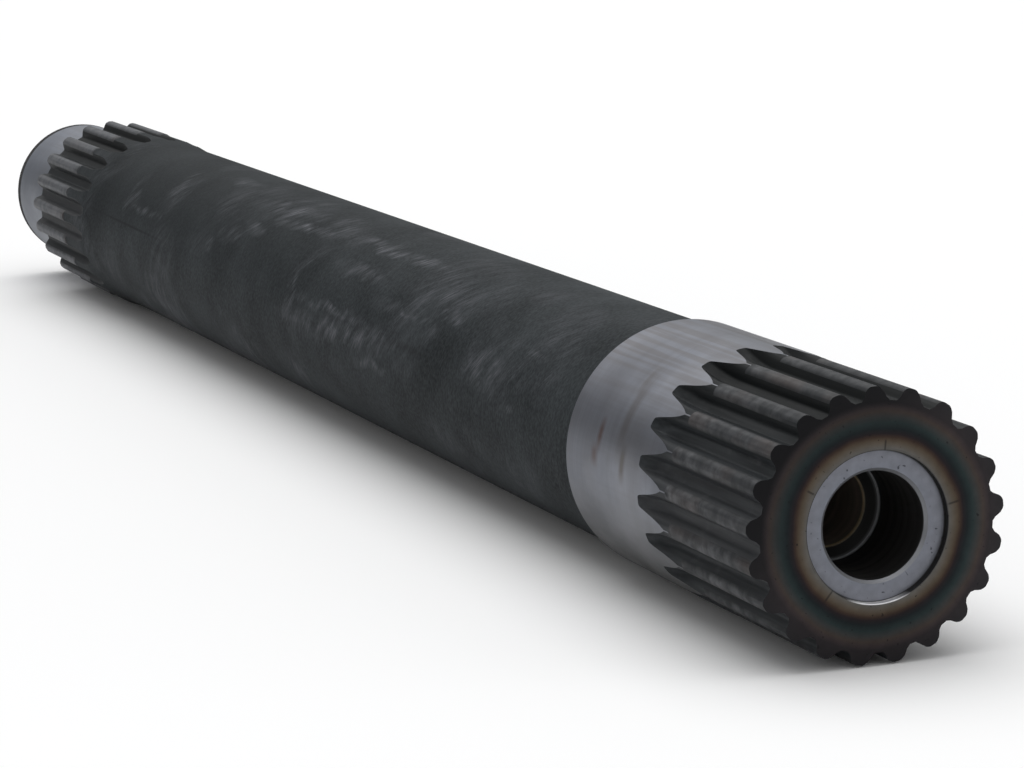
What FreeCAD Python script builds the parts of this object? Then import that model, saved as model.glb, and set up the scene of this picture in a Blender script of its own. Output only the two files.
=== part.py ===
import FreeCAD, Part
import math
import os
import re

import Sketcher
from FreeCAD import Vector

# Power take-off shaft: one hollow bar, turned, splined at both ends and ground on its two seats.
# The bar lies along X. Its drive end, with the open bore, points to +X and its pilot end to -X.
# Each spline has a gap facing straight down, so the shaft lies on the two teeth beside it.

sizes = {
    # teeth of both splines, with straight-sided 30 degree rack form
    "teeth_count": 21,
    "tooth_module": 1.5875,
    "pressure_angle": 30.0,
    "crest_diameter": 34.87,
    "root_diameter": 31.5,
    "root_fillet": 0.45,
    "crest_rounding": 1.2,
    # how far the rounding of a crest would stand over it, so that it meets the crest at an angle
    "rounding_overlap": 0.03,
    # the disc cutter that leaves each gap rising out of the bar in an arc
    "cutter_radius": 22.0,
    "drive_full_depth": 26.6,
    "pilot_full_depth": 32.6,
    # how far the cutter turns to come clear of the bar, in degrees
    "run_out_turn": 60.0,
    # lengths along the bar, from the drive end to the pilot end
    "drive_spline_length": 25.7,
    "journal_length": 35.3,
    "middle_length": 265.3,
    "taper_length": 9.2,
    "collar_length": 11.7,
    "pilot_spline_length": 25.8,
    "pilot_length": 28.4,
    # diameters along the bar
    "face_diameter": 30.3,
    "journal_diameter": 35.0,
    "middle_diameter": 33.3,
    "collar_diameter": 34.4,
    "pilot_diameter": 28.6,
    # short cones that lead up from the crests to the journal, and from the collar to the crests
    "journal_lead": 0.3,
    "crest_lead": 0.5,
    # broken edges of the bar
    "face_chamfer_depth": 0.5,
    "journal_chamfer": 0.3,
    "spline_end_chamfer": 0.25,
    "pilot_chamfer": 0.6,
    # bore: a shallow recess in the drive face, a socket with a drilled end, and the long oil bore
    "recess_diameter": 19.1,
    "recess_depth": 0.9,
    "socket_diameter": 13.7,
    "socket_depth": 14.1,
    "socket_chamfer": 0.4,
    "drill_half_angle": 59.0,
    "oil_bore_diameter": 10.5,
    "oil_bore_chamfer": 1.0,
    # how far a cutting profile reaches past what it cuts
    "overrun": 1.0,
}

doc = FreeCAD.newDocument("power_take_off_shaft")
sheet = doc.addObject("Spreadsheet::Sheet", "Dimensions")
for row, (alias, value) in enumerate(sizes.items(), start=1):
    sheet.set(f"A{row}", alias)
    sheet.set(f"B{row}", str(value))
    sheet.setAlias(f"B{row}", alias)
doc.recompute()


def sized(formula):
    """The formula with each size's name turned into its cell in the sheet."""
    return re.sub(r"[a-z_]+", lambda word: "Dimensions." + word[0] if word[0] in sizes else word[0], formula)


def number(formula):
    """The formula's value now, for a sketch's first guess."""
    return float(sheet.evalExpression(sized(formula)))


# Places along the bar, counted from the drive face.
journal_start = "drive_spline_length"
journal_end = f"{journal_start} + journal_length"
middle_end = f"{journal_end} + middle_length"
collar_start = f"{middle_end} + taper_length"
collar_end = f"{collar_start} + collar_length"
pilot_start = f"{collar_end} + pilot_spline_length"
shaft_end = f"{pilot_start} + pilot_length"

# Radii of the tooth gap. A flank is an arc about the point where its involute leaves the base circle.
crest_radius = "crest_diameter / 2"
root_radius = "root_diameter / 2"
pitch_radius = "teeth_count * tooth_module / 2"
flank_radius = f"{pitch_radius} * sin(pressure_angle)"
flank_centre_radius = f"{pitch_radius} * cos(pressure_angle)"
flank_centre_angle = "(90 / teeth_count + pressure_angle)"
rounding_centre_radius = f"{crest_radius} + rounding_overlap - crest_rounding"


def origin_feature(body, role):
    """One of the body's own origin planes or axes."""
    return next(item for item in body.Origin.OriginFeatures if item.Role == role)


def new_sketch(body, name, plane, place=None):
    """A sketch on one of the body's origin planes, or at a place along the bar."""
    sketch = body.newObject("Sketcher::SketchObject", name)
    sketch.AttachmentSupport = [(origin_feature(body, plane), "")]
    sketch.MapMode = "FlatFace"
    if place:
        sketch.setExpression("AttachmentOffset.Base.z", sized(f"0 - ({place})"))
    return sketch


def bind(sketch, constraint, name, formula):
    """Adds a dimension to the sketch, names it and ties it to the sheet."""
    index = sketch.addConstraint(constraint)
    sketch.renameConstraint(index, name)
    sketch.setExpression("Constraints." + name, sized(formula))


def turned_section(body, name, corners):
    """A closed half-section through the axis, whose corners are (place along the bar, radius)."""
    sketch = new_sketch(body, name, "XZ_Plane")
    points = [Vector(-number(place), number(radius), 0) for place, radius in corners]
    for i, point in enumerate(points):
        sketch.addGeometry(Part.LineSegment(points[i - 1], point), False)
    for i in range(len(points)):
        sketch.addConstraint(Sketcher.Constraint("Coincident", i - 1 if i else len(points) - 1, 2, i, 1))
    for i, (place, radius) in enumerate(corners):
        before = corners[i - 1]
        if place == "0":
            sketch.addConstraint(Sketcher.Constraint("PointOnObject", i, 2, -2))
        elif place == before[0]:
            sketch.addConstraint(Sketcher.Constraint("Vertical", i))
        elif points[i].x > 0:
            bind(sketch, Sketcher.Constraint("DistanceX", -1, 1, i, 2, points[i].x),
                 f"place_{i}", f"0 - ({place})")
        else:
            bind(sketch, Sketcher.Constraint("DistanceX", i, 2, -1, 1, -points[i].x), f"place_{i}", place)
        if radius == "0":
            sketch.addConstraint(Sketcher.Constraint("PointOnObject", i, 2, -1))
        elif radius == before[1]:
            sketch.addConstraint(Sketcher.Constraint("Horizontal", i))
        else:
            bind(sketch, Sketcher.Constraint("DistanceY", -1, 1, i, 2, points[i].y), f"radius_{i}", radius)
    return sketch


def meeting_point(radius, centre, other_radius, side):
    """Where a circle about the axis meets a circle about centre, nearer the middle of the gap."""
    reach = centre.Length
    along = (radius ** 2 - other_radius ** 2 + reach ** 2) / (2 * reach)
    across = math.sqrt(radius ** 2 - along ** 2)
    ahead = centre / reach
    return ahead * along + Vector(ahead.y, -ahead.x, 0) * across * side


def add_arc(sketch, centre, radius, first, last):
    """Adds the short arc between two points. Returns its number and its ends at first and at last."""
    start, end = [math.atan2(point.y - centre.y, point.x - centre.x) for point in (first, last)]
    forward = (end - start) % (2 * math.pi) < math.pi
    if not forward:
        start, end = end, start
    circle = Part.Circle(centre, Vector(0, 0, 1), radius)
    arc = sketch.addGeometry(Part.ArcOfCircle(circle, start, end), False)
    return (arc, 1, 2) if forward else (arc, 2, 1)


def gap_section(body, name, place):
    """The gap between two teeth, open below the crests, with the cutter's axis as its only guide line."""
    sketch = new_sketch(body, name, "YZ_Plane", place)
    origin = Vector(0, 0, 0)
    root = number(root_radius)
    fillet = number("root_fillet")
    flank = number(flank_radius)
    rounding = number("crest_rounding")
    outside = number(f"{crest_radius} + overrun")
    angle = math.radians(number(flank_centre_angle))
    sides = []
    for side in (-1, 1):
        flank_centre = Vector(side * math.sin(angle), -math.cos(angle), 0) * number(flank_centre_radius)
        fillet_centre = meeting_point(root + fillet, flank_centre, flank + fillet, side)
        rounding_centre = meeting_point(number(rounding_centre_radius), flank_centre, flank - rounding, side)
        root_end = fillet_centre * root / (root + fillet)
        flank_start = fillet_centre + (flank_centre - fillet_centre).normalize() * fillet
        flank_end = rounding_centre + (rounding_centre - flank_centre).normalize() * rounding
        crest_end = rounding_centre + Vector(rounding_centre).normalize() * rounding
        outer = Vector(rounding_centre).normalize() * outside
        sides.append((side, flank_centre, fillet_centre, rounding_centre,
                      root_end, flank_start, flank_end, crest_end, outer))

    root_arc, left_root, right_root = add_arc(sketch, origin, root, sides[0][4], sides[1][4])
    sketch.addConstraint(Sketcher.Constraint("Coincident", root_arc, 3, -1, 1))
    bind(sketch, Sketcher.Constraint("Radius", root_arc, root), "root", root_radius)
    outer_ends = []
    for values, root_position, word in zip(sides, (left_root, right_root), ("left", "right")):
        side, flank_centre, fillet_centre, rounding_centre = values[:4]
        root_end, flank_start, flank_end, crest_end, outer = values[4:]
        fillet_arc, fillet_low, fillet_high = add_arc(sketch, fillet_centre, fillet, root_end, flank_start)
        flank_arc, flank_low, flank_high = add_arc(sketch, flank_centre, flank, flank_start, flank_end)
        round_arc, round_low, round_high = add_arc(sketch, rounding_centre, rounding, flank_end, crest_end)
        wall = sketch.addGeometry(Part.LineSegment(crest_end, outer), False)
        for joint in ((root_arc, root_position, fillet_arc, fillet_low),
                      (fillet_arc, fillet_high, flank_arc, flank_low),
                      (flank_arc, flank_high, round_arc, round_low)):
            sketch.addConstraint(Sketcher.Constraint("Tangent", *joint))
        sketch.addConstraint(Sketcher.Constraint("Coincident", round_arc, round_high, wall, 1))
        sketch.addConstraint(Sketcher.Constraint("PointOnObject", -1, 1, wall))
        sketch.addConstraint(Sketcher.Constraint("PointOnObject", round_arc, 3, wall))
        bind(sketch, Sketcher.Constraint("Radius", fillet_arc, fillet), f"fillet_{word}", "root_fillet")
        bind(sketch, Sketcher.Constraint("Radius", flank_arc, flank), f"flank_{word}", flank_radius)
        bind(sketch, Sketcher.Constraint("Radius", round_arc, rounding), f"rounding_{word}", "crest_rounding")
        ends = (-1, 1, flank_arc, 3) if side > 0 else (flank_arc, 3, -1, 1)
        bind(sketch, Sketcher.Constraint("DistanceX", *ends, abs(flank_centre.x)), f"centre_across_{word}",
             f"{flank_centre_radius} * sin({flank_centre_angle})")
        bind(sketch, Sketcher.Constraint("DistanceY", flank_arc, 3, -1, 1, -flank_centre.y),
             f"centre_down_{word}", f"{flank_centre_radius} * cos({flank_centre_angle})")
        bind(sketch, Sketcher.Constraint("Distance", -1, 1, round_arc, 3, rounding_centre.Length),
             f"rounding_reach_{word}", rounding_centre_radius)
        bind(sketch, Sketcher.Constraint("Distance", -1, 1, wall, 2, outside), f"outside_{word}",
             f"{crest_radius} + overrun")
        outer_ends.append((wall, outer))
    (left_wall, left_outer), (right_wall, right_outer) = outer_ends
    mouth = sketch.addGeometry(Part.LineSegment(left_outer, right_outer), False)
    sketch.addConstraint(Sketcher.Constraint("Coincident", left_wall, 2, mouth, 1))
    sketch.addConstraint(Sketcher.Constraint("Coincident", right_wall, 2, mouth, 2))

    depth = number(f"{root_radius} + cutter_radius")
    half = number("overrun")
    cutter_axis = sketch.addGeometry(Part.LineSegment(Vector(-half, -depth, 0), Vector(half, -depth, 0)), True)
    sketch.addConstraint(Sketcher.Constraint("Symmetric", cutter_axis, 1, cutter_axis, 2, -2))
    bind(sketch, Sketcher.Constraint("DistanceX", cutter_axis, 1, cutter_axis, 2, 2 * half), "cutter_width",
         "2 * overrun")
    bind(sketch, Sketcher.Constraint("DistanceY", cutter_axis, 1, -1, 1, depth), "cutter_depth",
         f"{root_radius} + cutter_radius")
    return sketch


def cut_spline(body, name, place, full_depth, towards_drive_end):
    """Cuts one spline: a straight gap out to the bar's end and the cutter's arc, repeated round the bar."""
    section = gap_section(body, name + "_gap", place)
    straight = body.newObject("PartDesign::Pocket", name + "_straight")
    straight.Profile = section
    straight.Reversed = towards_drive_end
    straight.setExpression("Length", sized(f"{full_depth} + overrun"))
    run_out = body.newObject("PartDesign::Groove", name + "_run_out")
    run_out.Profile = section
    run_out.ReferenceAxis = (section, ["Axis0"])
    run_out.setExpression("Angle", sized("run_out_turn"))
    run_out.Reversed = towards_drive_end
    spline = body.newObject("PartDesign::PolarPattern", name)
    spline.Originals = [straight, run_out]
    spline.Axis = (origin_feature(body, "X_Axis"), [""])
    spline.Angle = 360
    spline.setExpression("Occurrences", sized("teeth_count"))
    body.Tip = spline
    doc.recompute()
    return spline


shaft = doc.addObject("PartDesign::Body", "splined_shaft")
shaft.Label = "splined_shaft"

# The turned bar: crests, journal, as-forged middle, tapered collar, crests again and the pilot.
bar_section = turned_section(shaft, "bar_section", [
    ("0", "0"),
    ("0", "face_diameter / 2"),
    ("face_chamfer_depth", "crest_diameter / 2"),
    (journal_start, "crest_diameter / 2"),
    (f"{journal_start} + journal_lead", "journal_diameter / 2"),
    (f"{journal_end} - journal_chamfer", "journal_diameter / 2"),
    (journal_end, "journal_diameter / 2 - journal_chamfer"),
    (journal_end, "middle_diameter / 2"),
    (middle_end, "middle_diameter / 2"),
    (collar_start, "collar_diameter / 2"),
    (collar_end, "collar_diameter / 2"),
    (f"{collar_end} + crest_lead", "crest_diameter / 2"),
    (f"{pilot_start} - spline_end_chamfer", "crest_diameter / 2"),
    (pilot_start, "crest_diameter / 2 - spline_end_chamfer"),
    (pilot_start, "pilot_diameter / 2"),
    (f"{shaft_end} - pilot_chamfer", "pilot_diameter / 2"),
    (shaft_end, "pilot_diameter / 2 - pilot_chamfer"),
    (shaft_end, "0"),
])
bar = shaft.newObject("PartDesign::Revolution", "bar")
bar.Profile = bar_section
bar.ReferenceAxis = (origin_feature(shaft, "X_Axis"), [""])
bar.Angle = 360
doc.recompute()
bar_volume = shaft.Shape.Volume

# The bore: recess, chamfered socket, its drilled cone and the oil bore through to the pilot end.
cone_end = "socket_depth + (socket_diameter - oil_bore_diameter) / 2 / tan(drill_half_angle)"
bore_section = turned_section(shaft, "bore_section", [
    ("0 - overrun", "0"),
    ("0 - overrun", "recess_diameter / 2"),
    ("recess_depth", "recess_diameter / 2"),
    ("recess_depth", "socket_diameter / 2 + socket_chamfer"),
    ("recess_depth + socket_chamfer", "socket_diameter / 2"),
    ("socket_depth", "socket_diameter / 2"),
    (cone_end, "oil_bore_diameter / 2"),
    (f"{shaft_end} - oil_bore_chamfer", "oil_bore_diameter / 2"),
    (shaft_end, "oil_bore_diameter / 2 + oil_bore_chamfer"),
    (f"{shaft_end} + overrun", "oil_bore_diameter / 2 + oil_bore_chamfer"),
    (f"{shaft_end} + overrun", "0"),
])
bore = shaft.newObject("PartDesign::Groove", "bore")
bore.Profile = bore_section
bore.ReferenceAxis = (origin_feature(shaft, "X_Axis"), [""])
bore.Angle = 360
doc.recompute()
bored_volume = shaft.Shape.Volume

drive_spline = cut_spline(shaft, "drive_spline", "drive_full_depth", "drive_full_depth", True)
drive_volume = shaft.Shape.Volume
pilot_spline = cut_spline(shaft, "pilot_spline", f"{shaft_end} - pilot_length - pilot_full_depth",
                          "pilot_full_depth + pilot_length", False)
pilot_volume = shaft.Shape.Volume

# The frame's origin is on the axis, half way along the bar.
shaft.setExpression("Placement.Base.x", sized(f"({shaft_end}) / 2"))
doc.recompute()

print("bar", round(bar_volume), "bored", round(bored_volume))
print("with drive spline", round(drive_volume), "with both", round(pilot_volume))
if not bar_volume > bored_volume > drive_volume > pilot_volume:
    raise RuntimeError("a cut removed nothing")
for item in doc.Objects:
    if "Invalid" in item.State or "Error" in item.State:
        raise RuntimeError(f"{item.Name} failed: {item.State}")
if shaft.Shape.isNull() or not shaft.Shape.isValid() or len(shaft.Shape.Solids) != 1:
    raise RuntimeError("the shaft is not one valid solid")

os.makedirs("parts", exist_ok=True)
shaft.Shape.exportStep(f"parts/{shaft.Label}.step")
box = shaft.Shape.BoundBox
print("box", [round(value, 3) for value in (box.XMin, box.XMax, box.YMin, box.YMax, box.ZMin, box.ZMax)])
print("steel weight", round(shaft.Shape.Volume * 7.85e-6, 3), "kg")
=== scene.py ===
import math

import bmesh
import bpy
from mathutils import Matrix, Vector


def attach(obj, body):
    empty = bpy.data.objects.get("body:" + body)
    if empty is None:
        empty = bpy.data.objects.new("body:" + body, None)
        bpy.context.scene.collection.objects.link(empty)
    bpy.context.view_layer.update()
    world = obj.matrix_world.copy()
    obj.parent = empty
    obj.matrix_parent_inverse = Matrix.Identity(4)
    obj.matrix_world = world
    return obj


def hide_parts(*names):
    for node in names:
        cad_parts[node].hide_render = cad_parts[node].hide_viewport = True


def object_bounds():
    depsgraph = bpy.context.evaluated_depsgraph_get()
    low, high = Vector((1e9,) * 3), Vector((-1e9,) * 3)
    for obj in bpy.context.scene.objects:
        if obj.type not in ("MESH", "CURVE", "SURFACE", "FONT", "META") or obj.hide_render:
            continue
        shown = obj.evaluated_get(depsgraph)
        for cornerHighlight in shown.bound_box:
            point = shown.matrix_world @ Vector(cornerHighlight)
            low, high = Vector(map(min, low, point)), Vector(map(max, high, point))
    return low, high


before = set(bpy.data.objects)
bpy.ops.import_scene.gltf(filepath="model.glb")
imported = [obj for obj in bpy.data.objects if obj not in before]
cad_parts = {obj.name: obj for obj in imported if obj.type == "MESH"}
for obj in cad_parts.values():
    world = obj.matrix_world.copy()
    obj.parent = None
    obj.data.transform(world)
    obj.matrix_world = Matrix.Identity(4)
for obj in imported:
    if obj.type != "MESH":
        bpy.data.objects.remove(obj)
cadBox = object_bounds()
scene = bpy.context.scene
scene.view_settings.view_transform = "Standard"
mm = 0.001
print("frame loaded:", sorted(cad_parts))

camera = {
    "place": (0.619524, -0.199186, 0.098721),
    "right": (0.34593, 0.937819, -0.028784),
    "down": (0.149698, -0.085452, -0.985032),
    "forward": (-0.926241, 0.336444, -0.16995),
    "focalPixels": 3857.5,
    "framePixels": 1024,
    "sensor": 36.0,
    "clipEnd": 20,
}
lens = bpy.data.cameras.new("photoCamera")
lens.sensor_width = camera["sensor"]
lens.lens = camera["focalPixels"] * camera["sensor"] / camera["framePixels"]
lens.clip_end = camera["clipEnd"]
cameraObject = bpy.data.objects.new("photoCamera", lens)
scene.collection.objects.link(cameraObject)
turn = Matrix((camera["right"], -Vector(camera["down"]), -Vector(camera["forward"]))).transposed()
cameraObject.matrix_world = Matrix.Translation(camera["place"]) @ turn.to_4x4()
scene.camera = cameraObject

studio = {
    "floorSize": 6.0,
    "floorGap": 0.02,  # mm between the floor and the shaft
    "floorColour": (0.80, 0.802, 0.805, 1),  # as it lights the shaft from below
    "floorSeen": (0.99, 0.992, 0.995, 1),  # as it is seen, straight or mirrored
    "floorRoughness": 0.9,
    "diffuseLight": 0.46,
    "glowRising": (0.02, 0.23, 0.17, 0.36),  # what polished steel sees of the room: heights, then strengths
    "glowHigher": (0.23, 0.38, 0, 0.89),  # what is added above that
    "lamps": {
        "overhead": {"from": (-0.28, 0.0, 1.0), "softness": 70, "strength": 1.7},
        "front": {"from": (0.7, 0.8, 0.4), "softness": 50, "strength": 0.3},
    },
}


def newNode(tree, kind, inputs=None, **settings):
    node = tree.nodes.new(kind)
    for name, value in settings.items():
        setattr(node, name, value)
    for key, value in (inputs or {}).items():
        if isinstance(value, bpy.types.NodeSocket):
            tree.links.new(value, node.inputs[key])
        else:
            node.inputs[key].default_value = value
    return node


def maths(tree, operation, *values, clamp=False):
    inputs = dict(enumerate(values))
    return newNode(tree, "ShaderNodeMath", inputs, operation=operation, use_clamp=clamp).outputs[0]


def multiply(tree, first, second):
    return maths(tree, "MULTIPLY", first, second)


def awayFrom(tree, value, place):  # the distance from a place, whichever side
    return maths(tree, "ABSOLUTE", maths(tree, "SUBTRACT", value, place))


def blendColour(tree, factor, first, second, kind="MIX"):
    inputs = {0: factor, 6: first, 7: second}
    return newNode(tree, "ShaderNodeMix", inputs, data_type="RGBA", blend_type=kind).outputs[2]


def spread(tree, value, low, high, outLow=0.0, outHigh=1.0):  # a clamped, straight change of range
    inputs = {"Value": value, "From Min": low, "From Max": high, "To Min": outLow, "To Max": outHigh}
    return newNode(tree, "ShaderNodeMapRange", inputs).outputs[0]


def rayMask(tree, *kinds):  # 1 for the kinds of ray named, 0 for all others
    rays = newNode(tree, "ShaderNodeLightPath").outputs
    mask = rays[kinds[0]]
    for kind in kinds[1:]:
        mask = maths(tree, "MAXIMUM", mask, rays[kind])
    return mask


world = bpy.data.worlds.new("studioRoom")
scene.world = world
world.use_nodes = True
room = world.node_tree
room.nodes.clear()
direction = newNode(room, "ShaderNodeTexCoord").outputs["Generated"]
height = newNode(room, "ShaderNodeSeparateXYZ", {0: direction}).outputs["Z"]
rising = spread(room, height, *studio["glowRising"])
higher = spread(room, height, *studio["glowHigher"])
mirrored = rayMask(room, "Is Glossy Ray")
mirroredGlow = multiply(room, mirrored, maths(room, "ADD", rising, higher))
diffuseGlow = multiply(room, maths(room, "SUBTRACT", 1.0, mirrored), studio["diffuseLight"])
roomSeen = rayMask(room, "Is Camera Ray", "Is Transmission Ray")
strength = maths(room, "MAXIMUM", maths(room, "ADD", mirroredGlow, diffuseGlow), roomSeen)
glow = newNode(room, "ShaderNodeBackground", {"Color": (1, 1, 1, 1), "Strength": strength})
newNode(room, "ShaderNodeOutputWorld", {"Surface": glow.outputs[0]})

for name, lamp in studio["lamps"].items():
    light = bpy.data.lights.new(name, "SUN")
    light.angle = math.radians(lamp["softness"])
    light.energy = lamp["strength"]
    lampObject = bpy.data.objects.new(name, light)
    scene.collection.objects.link(lampObject)
    lampObject.matrix_world = Vector(lamp["from"]).to_track_quat("Z", "Y").to_matrix().to_4x4()

floorMesh = bpy.data.meshes.new("paleFloor")
reach = studio["floorSize"] / 2
floorHeight = cadBox[0][2] - studio["floorGap"] * mm
corners = [(-reach, -reach, floorHeight), (reach, -reach, floorHeight),
           (reach, reach, floorHeight), (-reach, reach, floorHeight)]
floorMesh.from_pydata(corners, [], [(0, 1, 2, 3)])
floorObject = bpy.data.objects.new("paleFloor", floorMesh)
scene.collection.objects.link(floorObject)
floorMaterial = bpy.data.materials.new("palePaper")
floorMaterial.use_nodes = True
floorTree = floorMaterial.node_tree
paper = floorTree.nodes["Principled BSDF"]
floorSeen = rayMask(floorTree, "Is Camera Ray", "Is Glossy Ray", "Is Transmission Ray")
floorTree.links.new(blendColour(floorTree, floorSeen, studio["floorColour"], studio["floorSeen"]),
                    paper.inputs["Base Color"])
paper.inputs["Roughness"].default_value = studio["floorRoughness"]
paper.inputs["Specular IOR Level"].default_value = 0.0
floorMesh.materials.append(floorMaterial)
print("camera, lamps and floor set")

# the shaft's sizes in mm, counted from the drive face towards the pilot end
shaft = {
    "teeth": 21,
    "toothModule": 1.5875,
    "pressureAngle": 30,
    "crestRadius": 17.435,
    "rootRadius": 15.75,
    "rootFillet": 0.45,
    "crestRounding": 1.2,
    "roundingOverlap": 0.03,
    "cutterRadius": 22,
    "driveFullDepth": 26.6,  # where the cutter starts to lift out of the drive spline's gaps
    "pilotFullDepth": 340.4,  # and where it has come down in the pilot spline's
    "journalStart": 25.7,
    "journalLead": 0.3,
    "journalEnd": 61.0,
    "middleEnd": 326.3,
    "collarStart": 335.5,
    "collarEnd": 347.2,
    "crestLead": 0.5,
    "pilotStart": 373.0,
    "shaftEnd": 401.4,
    "faceRadius": 15.15,
    "faceChamfer": 0.5,
    "journalRadius": 17.5,
    "journalChamfer": 0.3,
    "middleRadius": 16.65,
    "collarRadius": 17.2,
    "splineEndChamfer": 0.25,
    "pilotRadius": 14.3,
    "pilotChamfer": 0.6,
    "recessRadius": 9.55,
    "recessDepth": 0.9,
    "socketRadius": 6.85,
    "socketDepth": 14.1,
    "socketChamfer": 0.4,
    "coneEnd": 15.06,
    "oilBoreRadius": 5.25,
    "oilBoreChamfer": 1.0,
}
finishes = ["driveFaceTint", "crestSteel", "toothGap", "groundSteel", "forgeBlack", "boreWall"]

# how the shaft's outside and bore are divided: ring stations and distances in mm
meshing = {
    "floorSteps": 2,  # steps over half a gap: floor, fillet, flank, rounding, its wall, half a crest
    "filletSteps": 5,
    "flankSteps": 4,
    "roundingSteps": 7,
    "wallSteps": 1,
    "crestSteps": 3,
    "wallReach": 0.02,  # how far the wall goes on past the crest, as a share of its radius
    "edgeMargin": 1e-4,  # a gap shallower than this isn't cut
    "arcTolerance": 1e-7,  # in arcs of the gap
    "liftTolerance": 1e-6,
    "faceRings": (0.22, 0.31, 0.4),
    "driveToothRings": (6, 12, 18, 24),
    "journalRings": (42, 51),
    "plainStep": 13.0,  # longest quad along the plain middle
    "tongueShares": (0.12, 0.25, 0.38, 0.5, 0.61, 0.71, 0.8, 0.88, 0.94, 0.98),  # of the run-out's length
    "pilotToothRings": (353, 359, 365),
    "pilotRings": (382, 391),
    "oilBoreRings": (300, 200, 100, 40),
    "socketRings": (9, 5),
    "mergeDistance": 0.002,
    "dissolveDistance": 0.001,
    "smoothAngle": 21,
}

# the shape of one gap between two teeth, seen along the shaft: across, and up from the axis
pressure = math.radians(shaft["pressureAngle"])
pitchRadius = shaft["teeth"] * shaft["toothModule"] / 2
flankRadius = pitchRadius * math.sin(pressure)
flankLean = math.radians(90 / shaft["teeth"]) + pressure
flankCentre = Vector((math.sin(flankLean), -math.cos(flankLean))) * pitchRadius * math.cos(pressure)
cutterHeight = shaft["rootRadius"] + shaft["cutterRadius"]
halfPitch = math.pi / shaft["teeth"]


def circlesMeet(radius, centre, otherRadius):  # the crossing nearer the middle of the gap
    distance = centre.length
    along = (radius ** 2 - otherRadius ** 2 + distance ** 2) / (2 * distance)
    across = math.sqrt(radius ** 2 - along ** 2)
    ahead = centre / distance
    return ahead * along + Vector((ahead.y, -ahead.x)) * across


filletCentre = circlesMeet(shaft["rootRadius"] + shaft["rootFillet"], flankCentre,
                           flankRadius + shaft["rootFillet"])
roundingCentre = circlesMeet(shaft["crestRadius"] + shaft["roundingOverlap"] - shaft["crestRounding"],
                             flankCentre, flankRadius - shaft["crestRounding"])
floorMiddle = Vector((0, -shaft["rootRadius"]))
floorEnd = filletCentre.normalized() * shaft["rootRadius"]
flankStart = filletCentre + (flankCentre - filletCentre).normalized() * shaft["rootFillet"]
flankEnd = roundingCentre + (roundingCentre - flankCentre).normalized() * shaft["crestRounding"]
crestEnd = roundingCentre + roundingCentre.normalized() * shaft["crestRounding"]
gapArcs = [(Vector((0, 0)), floorMiddle, floorEnd), (filletCentre, floorEnd, flankStart),
           (flankCentre, flankStart, flankEnd), (roundingCentre, flankEnd, crestEnd)]
gapSteps = [meshing["floorSteps"], meshing["filletSteps"], meshing["flankSteps"], meshing["roundingSteps"],
            meshing["wallSteps"]]


# along counts the arcs from the middle of the floor, lift is the way past full depth
def gapPoint(along, lift):
    arc = min(int(along), len(gapArcs))
    if arc == len(gapArcs):
        point = crestEnd * (1 + (along - arc) * meshing["wallReach"])
    else:
        centre, first, last = gapArcs[arc]
        start, end = first - centre, last - centre
        swing = end.angle_signed(start) * (along - arc)
        point = centre + Matrix.Rotation(swing, 2) @ start
    distance = cutterHeight + point.y
    return Vector((point.x, math.sqrt(distance ** 2 - lift ** 2) - cutterHeight))


def findCrossing(isInside, low, high, tolerance):  # the last place inside and the first one outside
    while high - low > tolerance:
        middle = (low + high) / 2
        low, high = (middle, high) if isInside(middle) else (low, middle)
    return low, high


def halfRing(barRadius, lift):  # from the middle of a gap to the middle of a tooth
    cut = lift is not None and gapPoint(0, lift).length < barRadius - meshing["edgeMargin"]
    low = 1.0
    if cut:
        low = findCrossing(lambda along: gapPoint(along, lift).length < barRadius,
                           0.0, len(gapSteps), meshing["arcTolerance"])[0]
    points = []
    for arc, steps in enumerate(gapSteps):
        first, last = min(arc, low), min(arc + 1, low)
        points += [gapPoint(first + (last - first) * step / steps, lift if cut else 0)
                   for step in range(steps)]
    points.append(gapPoint(low, lift if cut else 0))
    if not cut:
        points = [point.normalized() * barRadius for point in points]
    edge = math.atan2(points[-1].x, -points[-1].y)
    for step in range(1, meshing["crestSteps"] + 1):
        angle = edge + (halfPitch - edge) * step / meshing["crestSteps"]
        points.append(Vector((math.sin(angle), -math.cos(angle))) * barRadius)
    return points, cut


def barRadiusAt(station):  # in the face chamfer, and from the middle to the collar
    if station < shaft["faceChamfer"]:
        share = station / shaft["faceChamfer"]
        return shaft["faceRadius"] + (shaft["crestRadius"] - shaft["faceRadius"]) * share
    if station <= shaft["middleEnd"]:
        return shaft["middleRadius"]
    share = (station - shaft["middleEnd"]) / (shaft["collarStart"] - shaft["middleEnd"])
    return shaft["middleRadius"] + (shaft["collarRadius"] - shaft["middleRadius"]) * min(share, 1)


def tongueEnd(radiusAt):  # how far past full depth a gap's floor comes out through the bar
    return findCrossing(lambda lift: gapPoint(0, lift).length < radiusAt(lift),
                        0.0, shaft["cutterRadius"] / 2, meshing["liftTolerance"])[1]


driveTongue = tongueEnd(lambda lift: shaft["journalRadius"])
pilotTongue = tongueEnd(lambda lift: barRadiusAt(shaft["pilotFullDepth"] - lift))
rootStation = (shaft["faceChamfer"] * (shaft["rootRadius"] - shaft["faceRadius"])
               / (shaft["crestRadius"] - shaft["faceRadius"]))
toothEnd = shaft["pilotStart"] - shaft["splineEndChamfer"]
plainCount = math.ceil((shaft["middleEnd"] - shaft["journalEnd"]) / meshing["plainStep"])
plainLength = (shaft["middleEnd"] - shaft["journalEnd"]) / plainCount
rings = []  # station, bar radius, cutter's lift or None, and the finish up to the next ring


def addRings(stations, radius, lift, finish):
    rings.extend((station, radius, lift, finish) for station in stations)


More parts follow.
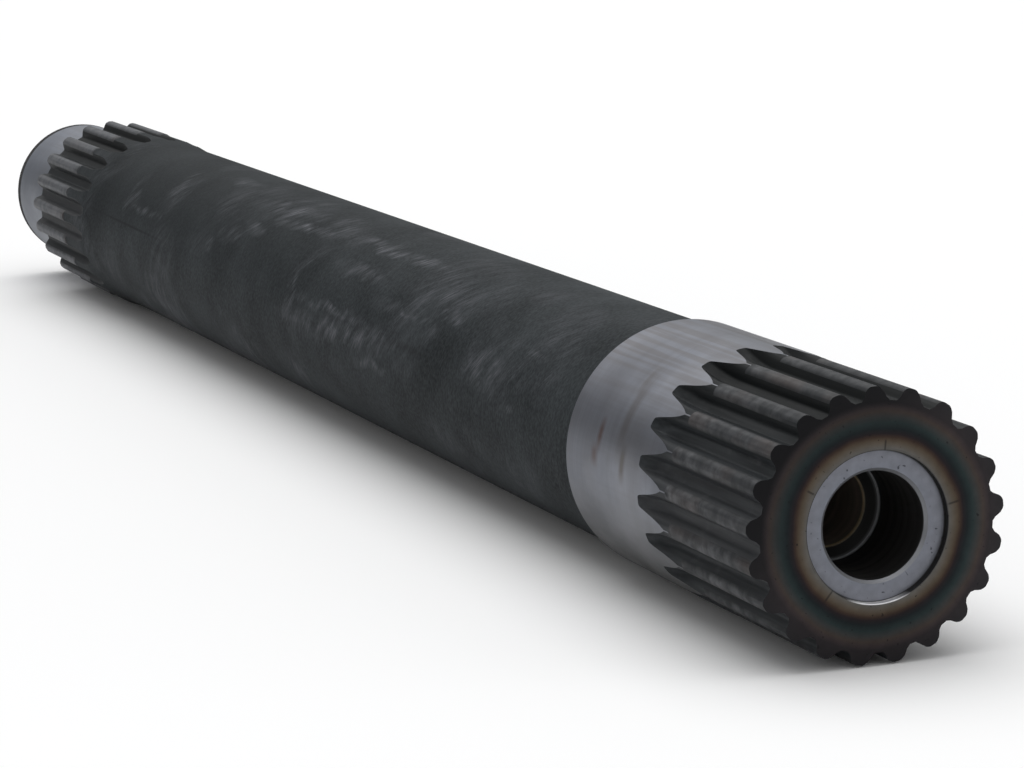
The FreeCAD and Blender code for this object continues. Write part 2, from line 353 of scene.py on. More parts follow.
addRings([0], shaft["faceRadius"], None, "driveFaceTint")
addRings([rootStation], shaft["rootRadius"], None, "driveFaceTint")
for station in meshing["faceRings"]:
    addRings([station], barRadiusAt(station), 0, "driveFaceTint")
addRings([shaft["faceChamfer"], *meshing["driveToothRings"], shaft["journalStart"]],
         shaft["crestRadius"], 0, "crestSteel")
addRings([shaft["journalStart"] + shaft["journalLead"]], shaft["journalRadius"], 0, "groundSteel")
for share in (0, *meshing["tongueShares"], 1):
    addRings([shaft["driveFullDepth"] + driveTongue * share], shaft["journalRadius"],
             driveTongue * share, "groundSteel")
addRings([*meshing["journalRings"], shaft["journalEnd"] - shaft["journalChamfer"]],
         shaft["journalRadius"], None, "groundSteel")
addRings([shaft["journalEnd"]], shaft["journalRadius"] - shaft["journalChamfer"], None, "forgeBlack")
addRings([shaft["journalEnd"] + plainLength * count for count in range(plainCount + 1)],
         shaft["middleRadius"], None, "forgeBlack")
pilotLifts = [pilotTongue * share for share in (*meshing["tongueShares"], 1)]
pilotLifts += [shaft["pilotFullDepth"] - shaft["collarStart"], 0]
for lift in sorted(pilotLifts, reverse=True):
    station = shaft["pilotFullDepth"] - lift
    addRings([station], barRadiusAt(station), lift, "forgeBlack")
addRings([shaft["collarEnd"]], shaft["collarRadius"], 0, "crestSteel")
addRings([shaft["collarEnd"] + shaft["crestLead"], *meshing["pilotToothRings"], toothEnd],
         shaft["crestRadius"], 0, "crestSteel")
addRings([shaft["pilotStart"]], shaft["crestRadius"] - shaft["splineEndChamfer"], 0, "toothGap")
addRings([shaft["pilotStart"], *meshing["pilotRings"], shaft["shaftEnd"] - shaft["pilotChamfer"]],
         shaft["pilotRadius"], None, "groundSteel")
addRings([shaft["shaftEnd"]], shaft["pilotRadius"] - shaft["pilotChamfer"], None, "groundSteel")
addRings([shaft["shaftEnd"]], shaft["oilBoreRadius"] + shaft["oilBoreChamfer"], None, "boreWall")
addRings([shaft["shaftEnd"] - shaft["oilBoreChamfer"], *meshing["oilBoreRings"], shaft["coneEnd"]],
         shaft["oilBoreRadius"], None, "boreWall")
addRings([shaft["socketDepth"], *meshing["socketRings"], shaft["recessDepth"] + shaft["socketChamfer"]],
         shaft["socketRadius"], None, "boreWall")
addRings([shaft["recessDepth"]], shaft["socketRadius"] + shaft["socketChamfer"], None, "driveFaceTint")
addRings([shaft["recessDepth"], 0], shaft["recessRadius"], None, "driveFaceTint")


def toothSector():  # one gap with half a tooth on each side of it, the whole length of the shaft
    coords, faces, faceFinishes, cuts = [], [], [], []
    for station, radius, lift, finish in rings:
        half, cut = halfRing(radius, lift)
        cuts.append(cut)
        row = [Vector((-point.x, point.y)) for point in reversed(half[1:])] + half
        x = shaft["shaftEnd"] / 2 - station
        coords += [(x * mm, point.x * mm, point.y * mm) for point in row]
    width = len(row)
    for index, (station, radius, lift, finish) in enumerate(rings):
        following = (index + 1) % len(rings)
        endWall = station == shaft["pilotStart"] and cuts[index] and not cuts[following]
        inGap = (cuts[index] or cuts[following]) and not endWall
        top = meshing["crestSteps"]
        if finish == "crestSteel":  # the wall and the rounding count as tooth top
            top += meshing["wallSteps"] + meshing["roundingSteps"]
        for column in range(width - 1):
            first, second = index * width + column, following * width + column
            faces.append((first, first + 1, second + 1, second))
            isGap = inGap and top <= column < width - 1 - top
            faceFinishes.append(finishes.index("toothGap" if isGap else finish))
    mesh = bpy.data.meshes.new("toothSector")
    mesh.from_pydata(coords, [], faces)
    finishMark = mesh.attributes.new("finish", "INT", "FACE")
    finishMark.data.foreach_set("value", faceFinishes)
    sector = bpy.data.objects.new("toothSector", mesh)
    scene.collection.objects.link(sector)
    return sector


# what every steel finish reads: its place on the shaft, the marks of the work, and patches of wear
def newGroup(name, inputs, outputs):
    group = bpy.data.node_groups.new(name, "ShaderNodeTree")
    for label, kind in inputs.items():
        group.interface.new_socket(label, in_out="INPUT", socket_type=kind)
    for label in outputs:
        group.interface.new_socket(label, in_out="OUTPUT", socket_type="NodeSocketFloat")
    return group, group.nodes.new("NodeGroupInput").outputs, group.nodes.new("NodeGroupOutput").inputs


markLabels = ("Along", "Round", "Low", "High", "Detail", "Seed")
patchLabels = ("Middle", "Half Length", "Turn", "Half Turn", "Slope")
placeSocket = {"Place": "NodeSocketVector"}

# mm from the drive face, degrees round from the top, mm from the axis, and degrees up from the underside
shaftPlace, given, put = newGroup("shaftPlace", placeSocket, ("Station", "Angle", "Radius", "Rise"))
axes = newNode(shaftPlace, "ShaderNodeSeparateXYZ", {0: given["Place"]}).outputs
alongMm = maths(shaftPlace, "MULTIPLY_ADD", axes["X"], -1 / mm, shaft["shaftEnd"] / 2)
turnDegrees = maths(shaftPlace, "DEGREES", maths(shaftPlace, "ARCTAN2", axes["Y"], axes["Z"]))
squares = maths(shaftPlace, "MULTIPLY_ADD", axes["Y"], axes["Y"], multiply(shaftPlace, axes["Z"], axes["Z"]))
outMm = multiply(shaftPlace, maths(shaftPlace, "SQRT", squares), 1 / mm)
riseDegrees = maths(shaftPlace, "SUBTRACT", 180.0, maths(shaftPlace, "ABSOLUTE", turnDegrees))
for label, value in (("Station", alongMm), ("Angle", turnDegrees), ("Radius", outMm), ("Rise", riseDegrees)):
    shaftPlace.links.new(value, put[label])

# noise drawn out along or round the shaft, as a tool leaves it; the scales are in marks per metre
markSockets = placeSocket | dict.fromkeys(markLabels, "NodeSocketFloat")
workMarks, given, put = newGroup("workMarks", markSockets, ["Mask"])
stretch = newNode(workMarks, "ShaderNodeCombineXYZ",
                  {"X": given["Along"], "Y": given["Round"], "Z": given["Round"]}).outputs[0]
stretched = newNode(workMarks, "ShaderNodeVectorMath", {0: given["Place"], 1: stretch},
                    operation="MULTIPLY").outputs[0]
noise = newNode(workMarks, "ShaderNodeTexNoise",
                {"Vector": stretched, "W": given["Seed"], "Scale": 1.0, "Detail": given["Detail"]},
                noise_dimensions="4D").outputs[0]
workMarks.links.new(spread(workMarks, noise, given["Low"], given["High"]), put["Mask"])

# a soft-edged patch on the outside: middle and half length in mm, turn and half turn in degrees
patchSockets = ("Station", "Angle", *patchLabels, "Soft")
wearPatch, given, put = newGroup("wearPatch", dict.fromkeys(patchSockets, "NodeSocketFloat"), ["Mask"])
ahead = maths(wearPatch, "SUBTRACT", given["Station"], given["Middle"])
lean = maths(wearPatch, "MULTIPLY_ADD", ahead, given["Slope"], given["Turn"])
aside = maths(wearPatch, "SUBTRACT", given["Angle"], lean)
sides = []
for distance, half in ((ahead, given["Half Length"]), (aside, given["Half Turn"])):
    share = maths(wearPatch, "DIVIDE", maths(wearPatch, "ABSOLUTE", distance), half)
    inside = maths(wearPatch, "SUBTRACT", 1.0, share)
    sides.append(maths(wearPatch, "DIVIDE", inside, given["Soft"], clamp=True))
wearPatch.links.new(multiply(wearPatch, *sides), put["Mask"])
finishMaterials = {}


def makeMarks(tree, place, table):  # each row: marks per metre along and round, low and high, detail, seed
    marks = {}
    for name, row in table.items():
        inputs = {"Place": place, **dict(zip(markLabels, row))}
        marks[name] = newNode(tree, "ShaderNodeGroup", inputs, node_tree=workMarks).outputs["Mask"]
    return marks


def startFinish(name, look):
    material = bpy.data.materials.new(name)
    material.use_nodes = True
    finishMaterials[name] = material
    tree = material.node_tree
    shader = tree.nodes["Principled BSDF"].inputs
    shader["Specular IOR Level"].default_value = look["specular"]
    place = newNode(tree, "ShaderNodeTexCoord").outputs["Object"]
    where = newNode(tree, "ShaderNodeGroup", {"Place": place}, node_tree=shaftPlace).outputs
    return tree, shader, place, where, makeMarks(tree, place, look["marks"])


def addShares(tree, marks, shares):
    total = 0.0
    for name, share in shares.items():
        total = maths(tree, "MULTIPLY_ADD", marks[name], share, total)
    return total


def addPatch(tree, where, row, soft):
    *patch, power = row
    inputs = {"Station": where["Station"], "Angle": where["Angle"], "Soft": soft}
    inputs.update(zip(patchLabels, patch))
    mask = newNode(tree, "ShaderNodeGroup", inputs, node_tree=wearPatch).outputs["Mask"]
    return multiply(tree, mask, power)


def paintPatches(tree, where, colour, rows, soft, paint):
    for row in rows:
        colour = blendColour(tree, addPatch(tree, where, row, soft), colour, paint)
    return colour


def ramp(tree, value, stops):  # colours at places in mm
    low, high = stops[0][0], stops[-1][0]
    node = newNode(tree, "ShaderNodeValToRGB", {0: spread(tree, value, low, high)})
    elements = node.color_ramp.elements
    while len(elements) < len(stops):
        elements.new(1.0)
    for element, (place, colour) in zip(elements, stops):
        element.position = (place - low) / (high - low)
        element.color = (*colour, 1)
    return node.outputs["Color"]


def endFinish(tree, shader, colour, roughness, height, look):
    tree.links.new(colour, shader["Base Color"])
    tree.links.new(roughness, shader["Roughness"])
    inputs = {"Height": height, "Distance": look["bumpDepth"] * mm, "Strength": look["bumpStrength"]}
    tree.links.new(newNode(tree, "ShaderNodeBump", inputs).outputs["Normal"], shader["Normal"])


# In the finishes below, four numbers are a range and the values at its two ends; two are just the range.
# Lengths are in mm, turns in degrees and strengths between 0 and 1.
# A row of patches is middle, half length, turn, half turn, slope and strength.

# black scale of the forged and hardened middle, scuffed in strips where it has been rolled about, with
# painted shade on its underside and on the top of its far part
forge = {
    "dark": (0.0085, 0.0105, 0.0118, 1),
    "pale": (0.0435, 0.0495, 0.0535, 1),
    "scuff": (0.104, 0.108, 0.120, 1),
    "score": (0.009, 0.010, 0.011, 1),
    "specular": 0.04,
    "roughness": (0, 1, 0.62, 0.5),  # plain and scuffed
    "bumpDepth": 0.02,
    "bumpStrength": 0.7,
    "marks": {
        "speckle": (2400, 1900, 0.36, 0.64, 2, 1),
        "cloud": (60, 75, 0.35, 0.65, 7, 2),
        "turning": (1500, 25, 0.35, 0.65, 2, 3),
        "rubbing": (35, 60, 0.52, 0.72, 4, 5),
        "raggedEnds": (130, 130, 0.3, 0.7, 8, 6),
        "raggedSides": (160, 200, 0.3, 0.7, 8, 7),
    },
    "slantedMarks": {
        "strokes": (3600, 430, 0.40, 0.64, 4, 4),
        "clumps": (420, 200, 0.36, 0.60, 12, 8),
    },
    "paleShares": {"speckle": 0.5, "cloud": 0.5},
    "reliefShares": {"turning": 0.25, "speckle": 0.6},
    "turningShare": 0.18,
    # painted shade: darker towards the underside
    "forgeShadeBelow": (26, 58, 1, 0),
    # painted shade: the top of the far part darker
    "topShadeRise": (94, 122, 0, 0.5),
    "topShadeStation": (150, 270),
    "strokeLean": 0.7,  # how far the strokes run towards the drive end as they rise
    "strokeShare": 1.6,
    "clumpShare": 0.28,
    "endShift": 10,  # mm and degrees by which the patches' edges wander
    "sideShift": 7,
    "rubbingShare": 0.45,
    "scuffShare": 0.95,
    "scuffSoft": 1,
    "scuffs": [
        (162, 38.4, -80, 9.35, -0.2, 0.9), (170, 26.4, -72, 3.74, -0.03, 0.8), (95, 14.4, -65, 8.5, 0.2, 0.7),
        (167, 15.6, -45.5, 5.95, -0.1, 0.9), (160, 36, -24.5, 5.95, 0, 1), (221, 20.4, -22, 10.2, -0.25, 0.9),
        (112, 6, -28, 17, 0, 0.7), (293, 13.2, -61, 4.25, 0, 0.7), (304, 6, -50, 17, 0.8, 0.6),
        (281, 6, -36, 22.1, 0, 0.5), (192, 4.8, -70, 37.4, 0, 0.6), (236, 7.2, -51, 7.65, -0.2, 0.7),
        (126, 7.2, -62, 10.2, 0, 0.4), (192, 10.8, -20, 13.6, 0, 0.6), (150, 84, 70, 51, 0.3, 0.5),
        (250, 60, 115, 51, -0.2, 0.5), (205, 28.8, -30, 5.1, -0.1, 0.8), (139, 16.8, -58, 4.25, 0, 0.7),
        (120, 10.8, -48, 5.1, 0.3, 0.8), (228, 8.4, -43, 5.95, 0.4, 0.7), (258, 12, -12, 6.8, 0, 0.5),
        (84, 9.6, -52, 3.4, 0, 0.6), (150, 10.8, -92, 5.1, 0, 0.6), (246, 4.8, -66, 8.5, 0, 0.7),
        (101, 8.4, -67, 15.3, 0.9, 0.8), (88, 6, -80, 5.1, 0, 0.6), (128, 10.8, -38, 10.2, -0.5, 0.6),
    ],
    "scoreSoft": 0.8,
    "scores": [(300, 32, -73.5, 1.2, 0.03, 0.7), (132, 12, -74, 3.5, 0, 0.5)],
}
tree, shader, place, where, marks = startFinish("forgeBlack", forge)
colour = blendColour(tree, addShares(tree, marks, forge["paleShares"]), forge["dark"], forge["pale"])
# painted shade on the top of the far part
farTopShade = multiply(tree, spread(tree, where["Rise"], *forge["topShadeRise"]),
                  spread(tree, where["Station"], *forge["topShadeStation"]))
# darkened by the turning marks, and by painted shade on the underside and on the far top
for mask in (multiply(tree, marks["turning"], forge["turningShare"]),
             spread(tree, where["Rise"], *forge["forgeShadeBelow"]), farTopShade):
    colour = blendColour(tree, mask, colour, forge["dark"])
colour = paintPatches(tree, where, colour, forge["scores"], forge["scoreSoft"], forge["score"])
axes = newNode(tree, "ShaderNodeSeparateXYZ", {0: place}).outputs
leant = maths(tree, "MULTIPLY_ADD", maths(tree, "ADD", axes["Y"], axes["Z"]), -forge["strokeLean"], axes["X"])
slanted = newNode(tree, "ShaderNodeCombineXYZ", {"X": leant, "Y": axes["Y"], "Z": axes["Z"]}).outputs[0]
slantedMarks = makeMarks(tree, slanted, forge["slantedMarks"])
flakes = multiply(tree, slantedMarks["clumps"], maths(
    tree, "MULTIPLY_ADD", slantedMarks["strokes"], forge["strokeShare"], forge["clumpShare"]))
raggedWhere = {}
for label, name, shift in (("Station", "raggedEnds", forge["endShift"]),
                           ("Angle", "raggedSides", forge["sideShift"])):
    raggedWhere[label] = maths(tree, "MULTIPLY_ADD", marks[name], shift,
                               maths(tree, "SUBTRACT", where[label], shift / 2))
scuffed = multiply(tree, marks["rubbing"], forge["rubbingShare"])
for row in forge["scuffs"]:
    scuffed = maths(tree, "MAXIMUM", scuffed, addPatch(tree, raggedWhere, row, forge["scuffSoft"]))
scuffed = multiply(tree, scuffed, flakes)
colour = blendColour(tree, multiply(tree, scuffed, forge["scuffShare"]), colour, forge["scuff"])
endFinish(tree, shader, colour, spread(tree, scuffed, *forge["roughness"]),
          addShares(tree, marks, forge["reliefShares"]), forge)

# ground seats of the bearing journal and the pilot, with a rubbed stain and two red-brown scratches, a
# painted sheen, and painted shade on the journal's underside
ground = {
    "steel": (0.156, 0.167, 0.199, 1),
    "grey": (0.098, 0.106, 0.127, 1),
    "stain": (0.065, 0.057, 0.055, 1),
    "scratch": (0.065, 0.036, 0.034, 1),
    # painted sheen: a paler colour in patches, where the roughness is lower too
    "sheen": (0.215, 0.227, 0.262, 1),
    "blued": (0.108, 0.121, 0.146, 1),  # the pilot
    "under": (0.015, 0.0155, 0.017, 1),  # painted shade on the underside of the journal
    "rim": (0.012, 0.012, 0.013, 1),  # the dark band at the pilot's end
    "specular": 0.3,
    "metallic": 0.92,
    "roughness": (0, 1, 0.42, 0.30),  # dull and with a sheen
    "pilotRoughness": 0.12,  # what the pilot and its rim add
    "rimRoughness": 0.4,
    "bumpDepth": 0.004,
    "bumpStrength": 0.6,
    "marks": {
        "lines": (3500, 12, 0.3, 0.7, 3, 11),
        "bands": (260, 6, 0.35, 0.65, 2, 12),
        "blotch": (120, 120, 0.4, 0.7, 3, 13),
        "streaks": (25, 1300, 0.42, 0.58, 4, 14),
        "sheen": (45, 60, 0.42, 0.62, 4, 15),
    },
    "steelShares": {"bands": 0.35, "lines": 0.35},
    "sheenShare": 0.45,
    "blotchShare": 0.28,
    "bluedShare": 0.6,
    "streakRise": (118, 145, 0.08, 0.5),
    "journalShadeRise": (44, 88, 1, 0),
    "rimWidth": 2.6,
    "rimFade": 0.4,
    "stainSoft": 0.7,
    "stains": [(40.9, 1.2, -82, 10, 0, 0.95), (42.6, 1.7, -60, 24, 0, 0.55), (44, 1, -43, 9, 0, 0.5)],
    "scratchSoft": 0.8,
    "scratches": [(49.6, 1.1, -73, 9, -0.25, 0.95), (50.6, 1.5, -83, 6, 0.6, 0.75)],
}
tree, shader, place, where, marks = startFinish("groundSteel", ground)
onPilot = maths(tree, "GREATER_THAN", where["Station"], shaft["middleEnd"])
onJournal = maths(tree, "SUBTRACT", 1.0, onPilot)
rimStart = shaft["shaftEnd"] - ground["rimWidth"]
pilotRim = spread(tree, where["Station"], rimStart - ground["rimFade"], rimStart)
colour = blendColour(tree, addShares(tree, marks, ground["steelShares"]), ground["grey"], ground["steel"])
for mask, paint in (
        # painted sheen
        (multiply(tree, marks["sheen"], ground["sheenShare"]), "sheen"),
        (multiply(tree, marks["blotch"], ground["blotchShare"]), "stain"),
        (multiply(tree, marks["streaks"], spread(tree, where["Rise"], *ground["streakRise"])), "stain"),
        # painted shade on the journal's underside
        (multiply(tree, onJournal, spread(tree, where["Rise"], *ground["journalShadeRise"])), "under"),
        (multiply(tree, onPilot, ground["bluedShare"]), "blued"),
        (pilotRim, "rim")):
    colour = blendColour(tree, mask, colour, ground[paint])
colour = paintPatches(tree, where, colour, ground["stains"], ground["stainSoft"], ground["stain"])
colour = paintPatches(tree, where, colour, ground["scratches"], ground["scratchSoft"], ground["scratch"])
roughness = spread(tree, marks["sheen"], *ground["roughness"])
roughness = maths(tree, "MULTIPLY_ADD", onPilot, ground["pilotRoughness"], roughness)
roughness = maths(tree, "MULTIPLY_ADD", pilotRim, ground["rimRoughness"], roughness)
tree.links.new(spread(tree, pilotRim, 0, 1, ground["metallic"], 0), shader["Metallic"])
endFinish(tree, shader, colour, roughness, marks["lines"], ground)

# tooth tops, dark from hardening, with brownish patches and faint lines round the shaft, and painted shade on
# the upper tops
crest = {
    "dark": (0.0125, 0.0140, 0.0155, 1),
    "pale": (0.086, 0.088, 0.094, 1),
    "brown": (0.046, 0.036, 0.033, 1),
    "turned": (0.098, 0.103, 0.113, 1),  # at the pilot end, where the tops were turned last
    "specular": 0.08,
    "metallic": 0.2,
    "roughness": (0, 1, 0.55, 0.45),  # dark and pale
    "bumpDepth": 0.006,
    "bumpStrength": 0.6,
    "marks": {
        "mottle": (520, 620, 0.38, 0.62, 9, 21),
        "lines": (2400, 90, 0.38, 0.66, 2, 22),
        "browned": (90, 130, 0.5, 0.64, 3, 23),
        "worn": (110, 190, 0.42, 0.58, 6, 24),
    },
    "paleShares": {"mottle": 0.86, "lines": 0.14},
    "wornTone": (0, 1, 0.3, 1.05),
    "stationTone": (1, 18, 0.42, 1.08),
    # painted shade: the upper tops darker
    "riseShade": (118, 142, 1, 0.45),
    "brownShare": 0.6,
    "turnedFade": 3.5,
    "turnedStrength": (0.1, 0.75),  # at the collar's end, and past the fade
    "turnedLines": (0, 1, 0.75, 1),
    "shoulder": (0.6, 0.15, 0.85, 0),  # the rounded edges, by mm below the crest
}
tree, shader, place, where, marks = startFinish("crestSteel", crest)
tone = addShares(tree, marks, crest["paleShares"])
for factor in (spread(tree, marks["worn"], *crest["wornTone"]),
               spread(tree, where["Station"], *crest["stationTone"]),
               spread(tree, where["Rise"], *crest["riseShade"])):
    tone = multiply(tree, tone, factor)
turned = spread(tree, where["Station"], shaft["collarEnd"], shaft["collarEnd"] + crest["turnedFade"],
                *crest["turnedStrength"])
depth = maths(tree, "SUBTRACT", shaft["crestRadius"], where["Radius"])
colour = blendColour(tree, tone, crest["dark"], crest["pale"])
for mask, paint in ((multiply(tree, marks["browned"], crest["brownShare"]), "brown"),
                    (multiply(tree, turned, spread(tree, marks["lines"], *crest["turnedLines"])), "turned"),
                    (spread(tree, depth, *crest["shoulder"]), "dark")):
    colour = blendColour(tree, mask, colour, crest[paint])
shader["Metallic"].default_value = crest["metallic"]
endFinish(tree, shader, colour, spread(tree, marks["mottle"], *crest["roughness"]), marks["lines"], crest)

# floors and flanks of the gaps, cut before hardening, with fine streaks along the teeth, painted light at mid
# height and painted shade on the upper side
gap = {
    "dark": (0.0125, 0.0145, 0.016, 1),
    "pale": (0.030, 0.0335, 0.0365, 1),
    # pale spots of wear, and painted light at mid height of the gaps
    "rubbed": (0.075, 0.075, 0.080, 1),
    # painted shade on the upper gaps
    "oiled": (0.0045, 0.0055, 0.006, 1),
    "specular": 0.05,
    "metallic": 0.05,
    "roughness": (0, 1, 0.55, 0.45),  # between the streaks and on them
    "bumpDepth": 0.008,
    "bumpStrength": 0.5,
    "marks": {
        "streaks": (60, 1400, 0.35, 0.65, 3, 31),
        "spots": (300, 400, 0.6, 0.72, 3, 32),
    },
    "streakStation": (300, 330, 1, 0.1),
    "spotShare": 0.25,
    "paintedLightFrom": (66, 84, 0.3, 1),  # painted light: palest at mid height, where the two ranges meet
    "paintedLightTo": (84, 122, 0.34, 0),
    "gapShadeRise": (122, 150, 0, 1),
}
tree, shader, place, where, marks = startFinish("toothGap", gap)
streaks = multiply(tree, marks["streaks"], spread(tree, where["Station"], *gap["streakStation"]))
# painted light at mid height of the gaps
rubbed = multiply(tree, spread(tree, where["Rise"], *gap["paintedLightFrom"]),
                  spread(tree, where["Rise"], *gap["paintedLightTo"]))
colour = blendColour(tree, streaks, gap["dark"], gap["pale"])
for mask, paint in ((multiply(tree, marks["spots"], gap["spotShare"]), "rubbed"), (rubbed, "rubbed"),
                    # painted shade on the upper gaps
                    (spread(tree, where["Rise"], *gap["gapShadeRise"]), "oiled")):
    colour = blendColour(tree, mask, colour, gap[paint])
shader["Metallic"].default_value = gap["metallic"]
endFinish(tree, shader, colour, spread(tree, streaks, *gap["roughness"]), streaks, gap)

# drive face: rings of heat tint round the bright recess, colours by radius in mm, with painted shade in the
# recess's corner, on its wall and on one side, and a painted highlight on its edge
face = {
    "tints": [
        # the dark stop at 9.50 is painted shade in the recess's corner
        (7.2, (0.195, 0.206, 0.240)), (9.30, (0.205, 0.212, 0.242)), (9.50, (0.03, 0.03, 0.03)),
        (9.72, (0.11, 0.105, 0.097)), (10.3, (0.098, 0.083, 0.066)), (10.8, (0.073, 0.054, 0.038)),
        (11.2, (0.040, 0.025, 0.019)), (11.6, (0.016, 0.012, 0.014)), (12.2, (0.010, 0.014, 0.016)),
        (13.0, (0.020, 0.031, 0.032)), (13.7, (0.038, 0.040, 0.040)), (14.35, (0.052, 0.040, 0.035)),
        (14.9, (0.040, 0.031, 0.032)), (15.4, (0.026, 0.022, 0.024)), (17.5, (0.022, 0.021, 0.023)),
    ],
    "grain": (0.5, 0.5, 0.5, 1),
    # soot specks and rays, and painted shade on the recess's wall and on one side
    "shadeAndSoot": (0.007, 0.007, 0.008, 1),
    # painted highlight on the recess's edge at the bottom
    "glint": (0.8, 0.8, 0.82, 1),
    "specular": 0.15,
    "metallic": 0.5,
    "roughness": (0, 1, 0.36, 0.46),
    "bumpDepth": 0.006,
    "bumpStrength": 0.5,
    "marks": {
        "wander": (100, 160, 0.25, 0.75, 3, 41),
        "fine": (900, 900, 0.3, 0.7, 3, 42),
        "dots": (1500, 1500, 0.68, 0.74, 1, 43),
    },
    "wanderStart": 9.75,  # outside this radius the tints wander
    "wanderWidth": 0.5,
    "fineShare": 0.3,
    "dotShare": 0.7,
    "rays": [(-139.6, 10.4, 1.1), (6.4, 10.2, 0.9), (78.4, 10.5, 1.0), (-60, 10.3, 0.7)],
    "rayAcross": (0.3, 1.1, 0.6, 0),  # a ray's row is turn, radius and half length
    "rayCore": 0.5,  # share of a ray that is at full strength
    "wallWidth": 0.03,  # painted shade, either side of the recess's wall
    "wallStop": 0.05,  # left clear above its bottom
    "wallShare": 0.6,
    "shadeTurn": -42,  # the middle of the side with painted shade
    "shadeSpan": (48, 80, 0.9, 0),
    "shadeInner": (12.0, 13.5, 0, 0.35),
    "shadeOuter": (14.8, 15.6, 0, 0.65),
    "glintRise": (14, 27, 1, 0),
    "glintOffset": 0.06,  # outside the recess's wall
    "glintWidth": (0.05, 0.12, 1, 0),
}
tree, shader, place, where, marks = startFinish("driveFaceTint", face)
wander = maths(tree, "MULTIPLY_ADD", maths(tree, "SUBTRACT", marks["wander"], 0.5), face["wanderWidth"],
               where["Radius"])
onFace = maths(tree, "GREATER_THAN", where["Radius"], face["wanderStart"])
tintRadius = newNode(tree, "ShaderNodeMix", {0: onFace, 2: where["Radius"], 3: wander}).outputs[0]
colour = ramp(tree, tintRadius, face["tints"])
fine = multiply(tree, marks["fine"], face["fineShare"])
colour = blendColour(tree, fine, colour, face["grain"], "MULTIPLY")
shadeAndSootMasks = [multiply(tree, marks["dots"], face["dotShare"])]
for angle, radius, half in face["rays"]:
    across = spread(tree, awayFrom(tree, where["Angle"], angle), *face["rayAcross"])
    out = spread(tree, awayFrom(tree, where["Radius"], radius), half * face["rayCore"], half, 1, 0)
    shadeAndSootMasks.append(multiply(tree, across, out))
# painted shade on the recess's wall
onWall = maths(tree, "LESS_THAN", awayFrom(tree, where["Radius"], shaft["recessRadius"]), face["wallWidth"])
aboveBottom = maths(tree, "LESS_THAN", where["Station"], shaft["recessDepth"] - face["wallStop"])
shadeAndSootMasks.append(multiply(tree, multiply(tree, onWall, aboveBottom), face["wallShare"]))
# painted shade on one side of the face
shadeRings = maths(tree, "ADD", spread(tree, where["Radius"], *face["shadeInner"]),
                  spread(tree, where["Radius"], *face["shadeOuter"]))
shadeSide = spread(tree, awayFrom(tree, where["Angle"], face["shadeTurn"]), *face["shadeSpan"])
shadeAndSootMasks.append(multiply(tree, shadeSide, shadeRings))
for mask in shadeAndSootMasks:
    colour = blendColour(tree, mask, colour, face["shadeAndSoot"])
# painted highlight on the recess's edge at the bottom
edge = awayFrom(tree, where["Radius"], shaft["recessRadius"] + face["glintOffset"])
glint = multiply(tree, spread(tree, where["Rise"], *face["glintRise"]),
                 spread(tree, edge, *face["glintWidth"]))
colour = blendColour(tree, glint, colour, face["glint"])
shader["Metallic"].default_value = face["metallic"]
endFinish(tree, shader, colour, spread(tree, marks["fine"], *face["roughness"]), marks["fine"], face)

# bore: dark drawn wall, a painted highlight at the socket's bottom corner, painted shade on the cone beyond
# it and a golden painted highlight on the oil bore's edge
bore = {
    "mouth": (0.20, 0.205, 0.22),
    "wall": (0.050, 0.048, 0.048),
    "deep": (0.022, 0.020, 0.018),
    # painted highlight at the socket's bottom corner
    "cornerHighlight": (0.75, 0.77, 0.80),
    # painted shade on the cone
    "coneShade": (0.006, 0.006, 0.006),
    # golden painted highlight on the oil bore's edge
    "goldHighlight": (0.62, 0.50, 0.33),
    "brown": (0.22, 0.185, 0.155),
    "stations": [
        (0.9, "mouth"), (1.25, "mouth"), (1.6, "wall"), (13.2, "wall"), (13.5, "deep"), (13.85, "cornerHighlight"),
        (14.1, "cornerHighlight"), (14.2, "coneShade"), (15.0, "coneShade"), (15.1, "goldHighlight"), (15.35, "goldHighlight"),
        (15.7, "brown"), (40.0, "brown"),
    ],
    "grain": (0.4, 0.4, 0.4, 1),
    "specular": 0.15,
    "metallic": (13.9, 14.2, 0.6, 0),  # down to the socket's bottom, and past it
    "roughness": (0, 1, 0.36, 0.5),
    "bumpDepth": 0.01,
    "bumpStrength": 0.5,
    "marks": {"scored": (700, 30, 0.35, 0.65, 3, 51)},
    "scoredShare": 0.5,
}
tree, shader, place, where, marks = startFinish("boreWall", bore)
colour = ramp(tree, where["Station"], [(station, bore[name]) for station, name in bore["stations"]])
scored = multiply(tree, marks["scored"], bore["scoredShare"])
colour = blendColour(tree, scored, colour, bore["grain"], "MULTIPLY")
tree.links.new(spread(tree, where["Station"], *bore["metallic"]), shader["Metallic"])
endFinish(tree, shader, colour, spread(tree, marks["scored"], *bore["roughness"]), marks["scored"], bore)
print("steel finishes made")

# the sector is set round the axis once for each tooth, joined up and given its finishes
roundTree = bpy.data.node_groups.new("sectorRoundShaft", "GeometryNodeTree")
roundTree.interface.new_socket("Geometry", in_out="INPUT", socket_type="NodeSocketGeometry")
teethInput = roundTree.interface.new_socket("teeth", in_out="INPUT", socket_type="NodeSocketInt")
mergeInput = roundTree.interface.new_socket("mergeDistance", in_out="INPUT", socket_type="NodeSocketFloat")
roundTree.interface.new_socket("Geometry", in_out="OUTPUT", socket_type="NodeSocketGeometry")
given = roundTree.nodes.new("NodeGroupInput").outputs
points = newNode(roundTree, "GeometryNodeMeshLine", {"Count": given["teeth"], "Offset": (0, 0, 0)})
pointIndex = newNode(roundTree, "GeometryNodeInputIndex").outputs[0]
onePitch = maths(roundTree, "DIVIDE", 2 * math.pi, given["teeth"])
toothTurn = multiply(roundTree, pointIndex, onePitch)
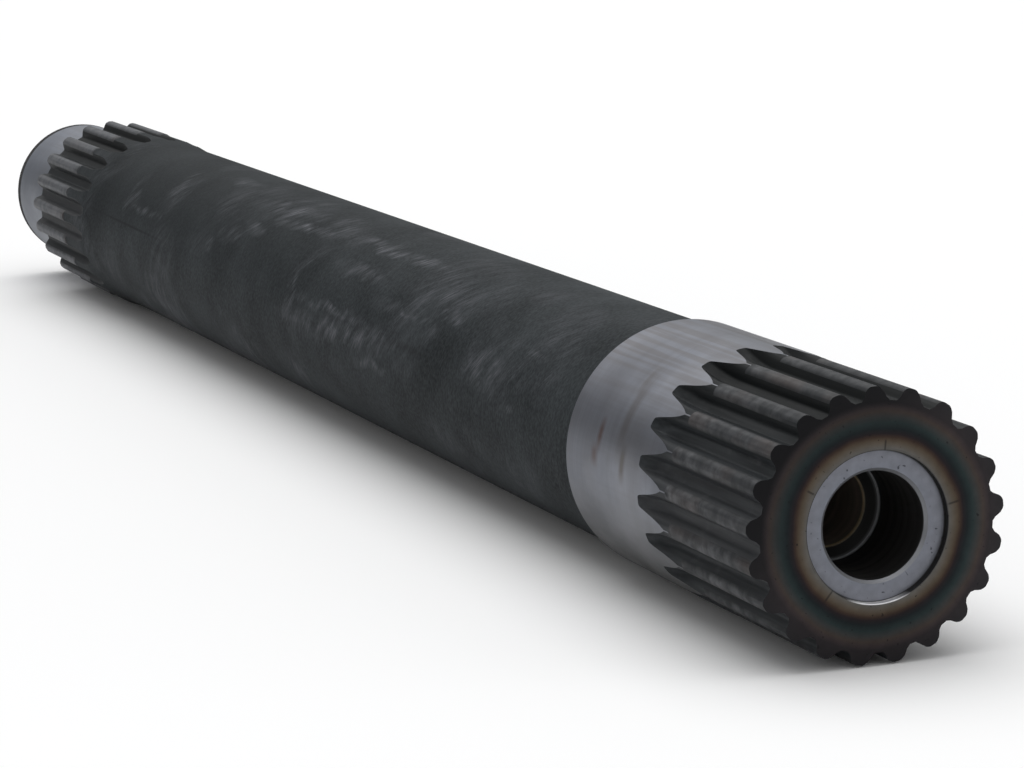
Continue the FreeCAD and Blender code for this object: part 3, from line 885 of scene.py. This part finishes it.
rotation = newNode(roundTree, "ShaderNodeCombineXYZ", {"X": toothTurn}).outputs[0]
placed = newNode(roundTree, "GeometryNodeInstanceOnPoints",
                 {"Points": points.outputs[0], "Instance": given["Geometry"], "Rotation": rotation})
realized = newNode(roundTree, "GeometryNodeRealizeInstances", {0: placed.outputs[0]})
joined = newNode(roundTree, "GeometryNodeMergeByDistance",
                 {"Geometry": realized.outputs[0], "Distance": given["mergeDistance"]}).outputs[0]
finishMark = newNode(roundTree, "GeometryNodeInputNamedAttribute", {"Name": "finish"},
                     data_type="INT").outputs[0]
for finishIndex, finish in enumerate(finishes):
    chosen = newNode(roundTree, "FunctionNodeCompare", {2: finishMark, 3: finishIndex},
                     data_type="INT", operation="EQUAL").outputs[0]
    joined = newNode(roundTree, "GeometryNodeSetMaterial", {
        "Geometry": joined, "Selection": chosen, "Material": finishMaterials[finish]}).outputs[0]
roundTree.links.new(joined, roundTree.nodes.new("NodeGroupOutput").inputs[0])

sector = toothSector()
modifier = sector.modifiers.new("sectorRoundShaft", "NODES")
modifier.node_group = roundTree
modifier[teethInput.identifier] = shaft["teeth"]
modifier[mergeInput.identifier] = meshing["mergeDistance"] * mm
evaluated = sector.evaluated_get(bpy.context.evaluated_depsgraph_get())
shaftMesh = bpy.data.meshes.new_from_object(evaluated)
shaftMesh.name = "splinedShaft"
bpy.data.objects.remove(sector)

shape = bmesh.new()
shape.from_mesh(shaftMesh)
bmesh.ops.dissolve_degenerate(shape, edges=shape.edges, dist=meshing["dissolveDistance"] * mm)
bmesh.ops.recalc_face_normals(shape, faces=shape.faces)
if shape.calc_volume(signed=True) < 0:
    bmesh.ops.reverse_faces(shape, faces=shape.faces)
openEdges = sum(1 for meshEdge in shape.edges if len(meshEdge.link_faces) != 2)
print("open edges", openEdges, "volume mm3", round(shape.calc_volume() / mm ** 3))
for polygon in shape.faces:
    polygon.smooth = True
shape.to_mesh(shaftMesh)
shape.free()
shaftMesh.set_sharp_from_angle(angle=math.radians(meshing["smoothAngle"]))
splinedShaft = bpy.data.objects.new("splinedShaft", shaftMesh)
scene.collection.objects.link(splinedShaft)
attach(splinedShaft, "root")
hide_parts("splined_shaft")
print("shaft made:", len(shaftMesh.polygons), "faces,",
      [steel.name for steel in shaftMesh.materials if steel])
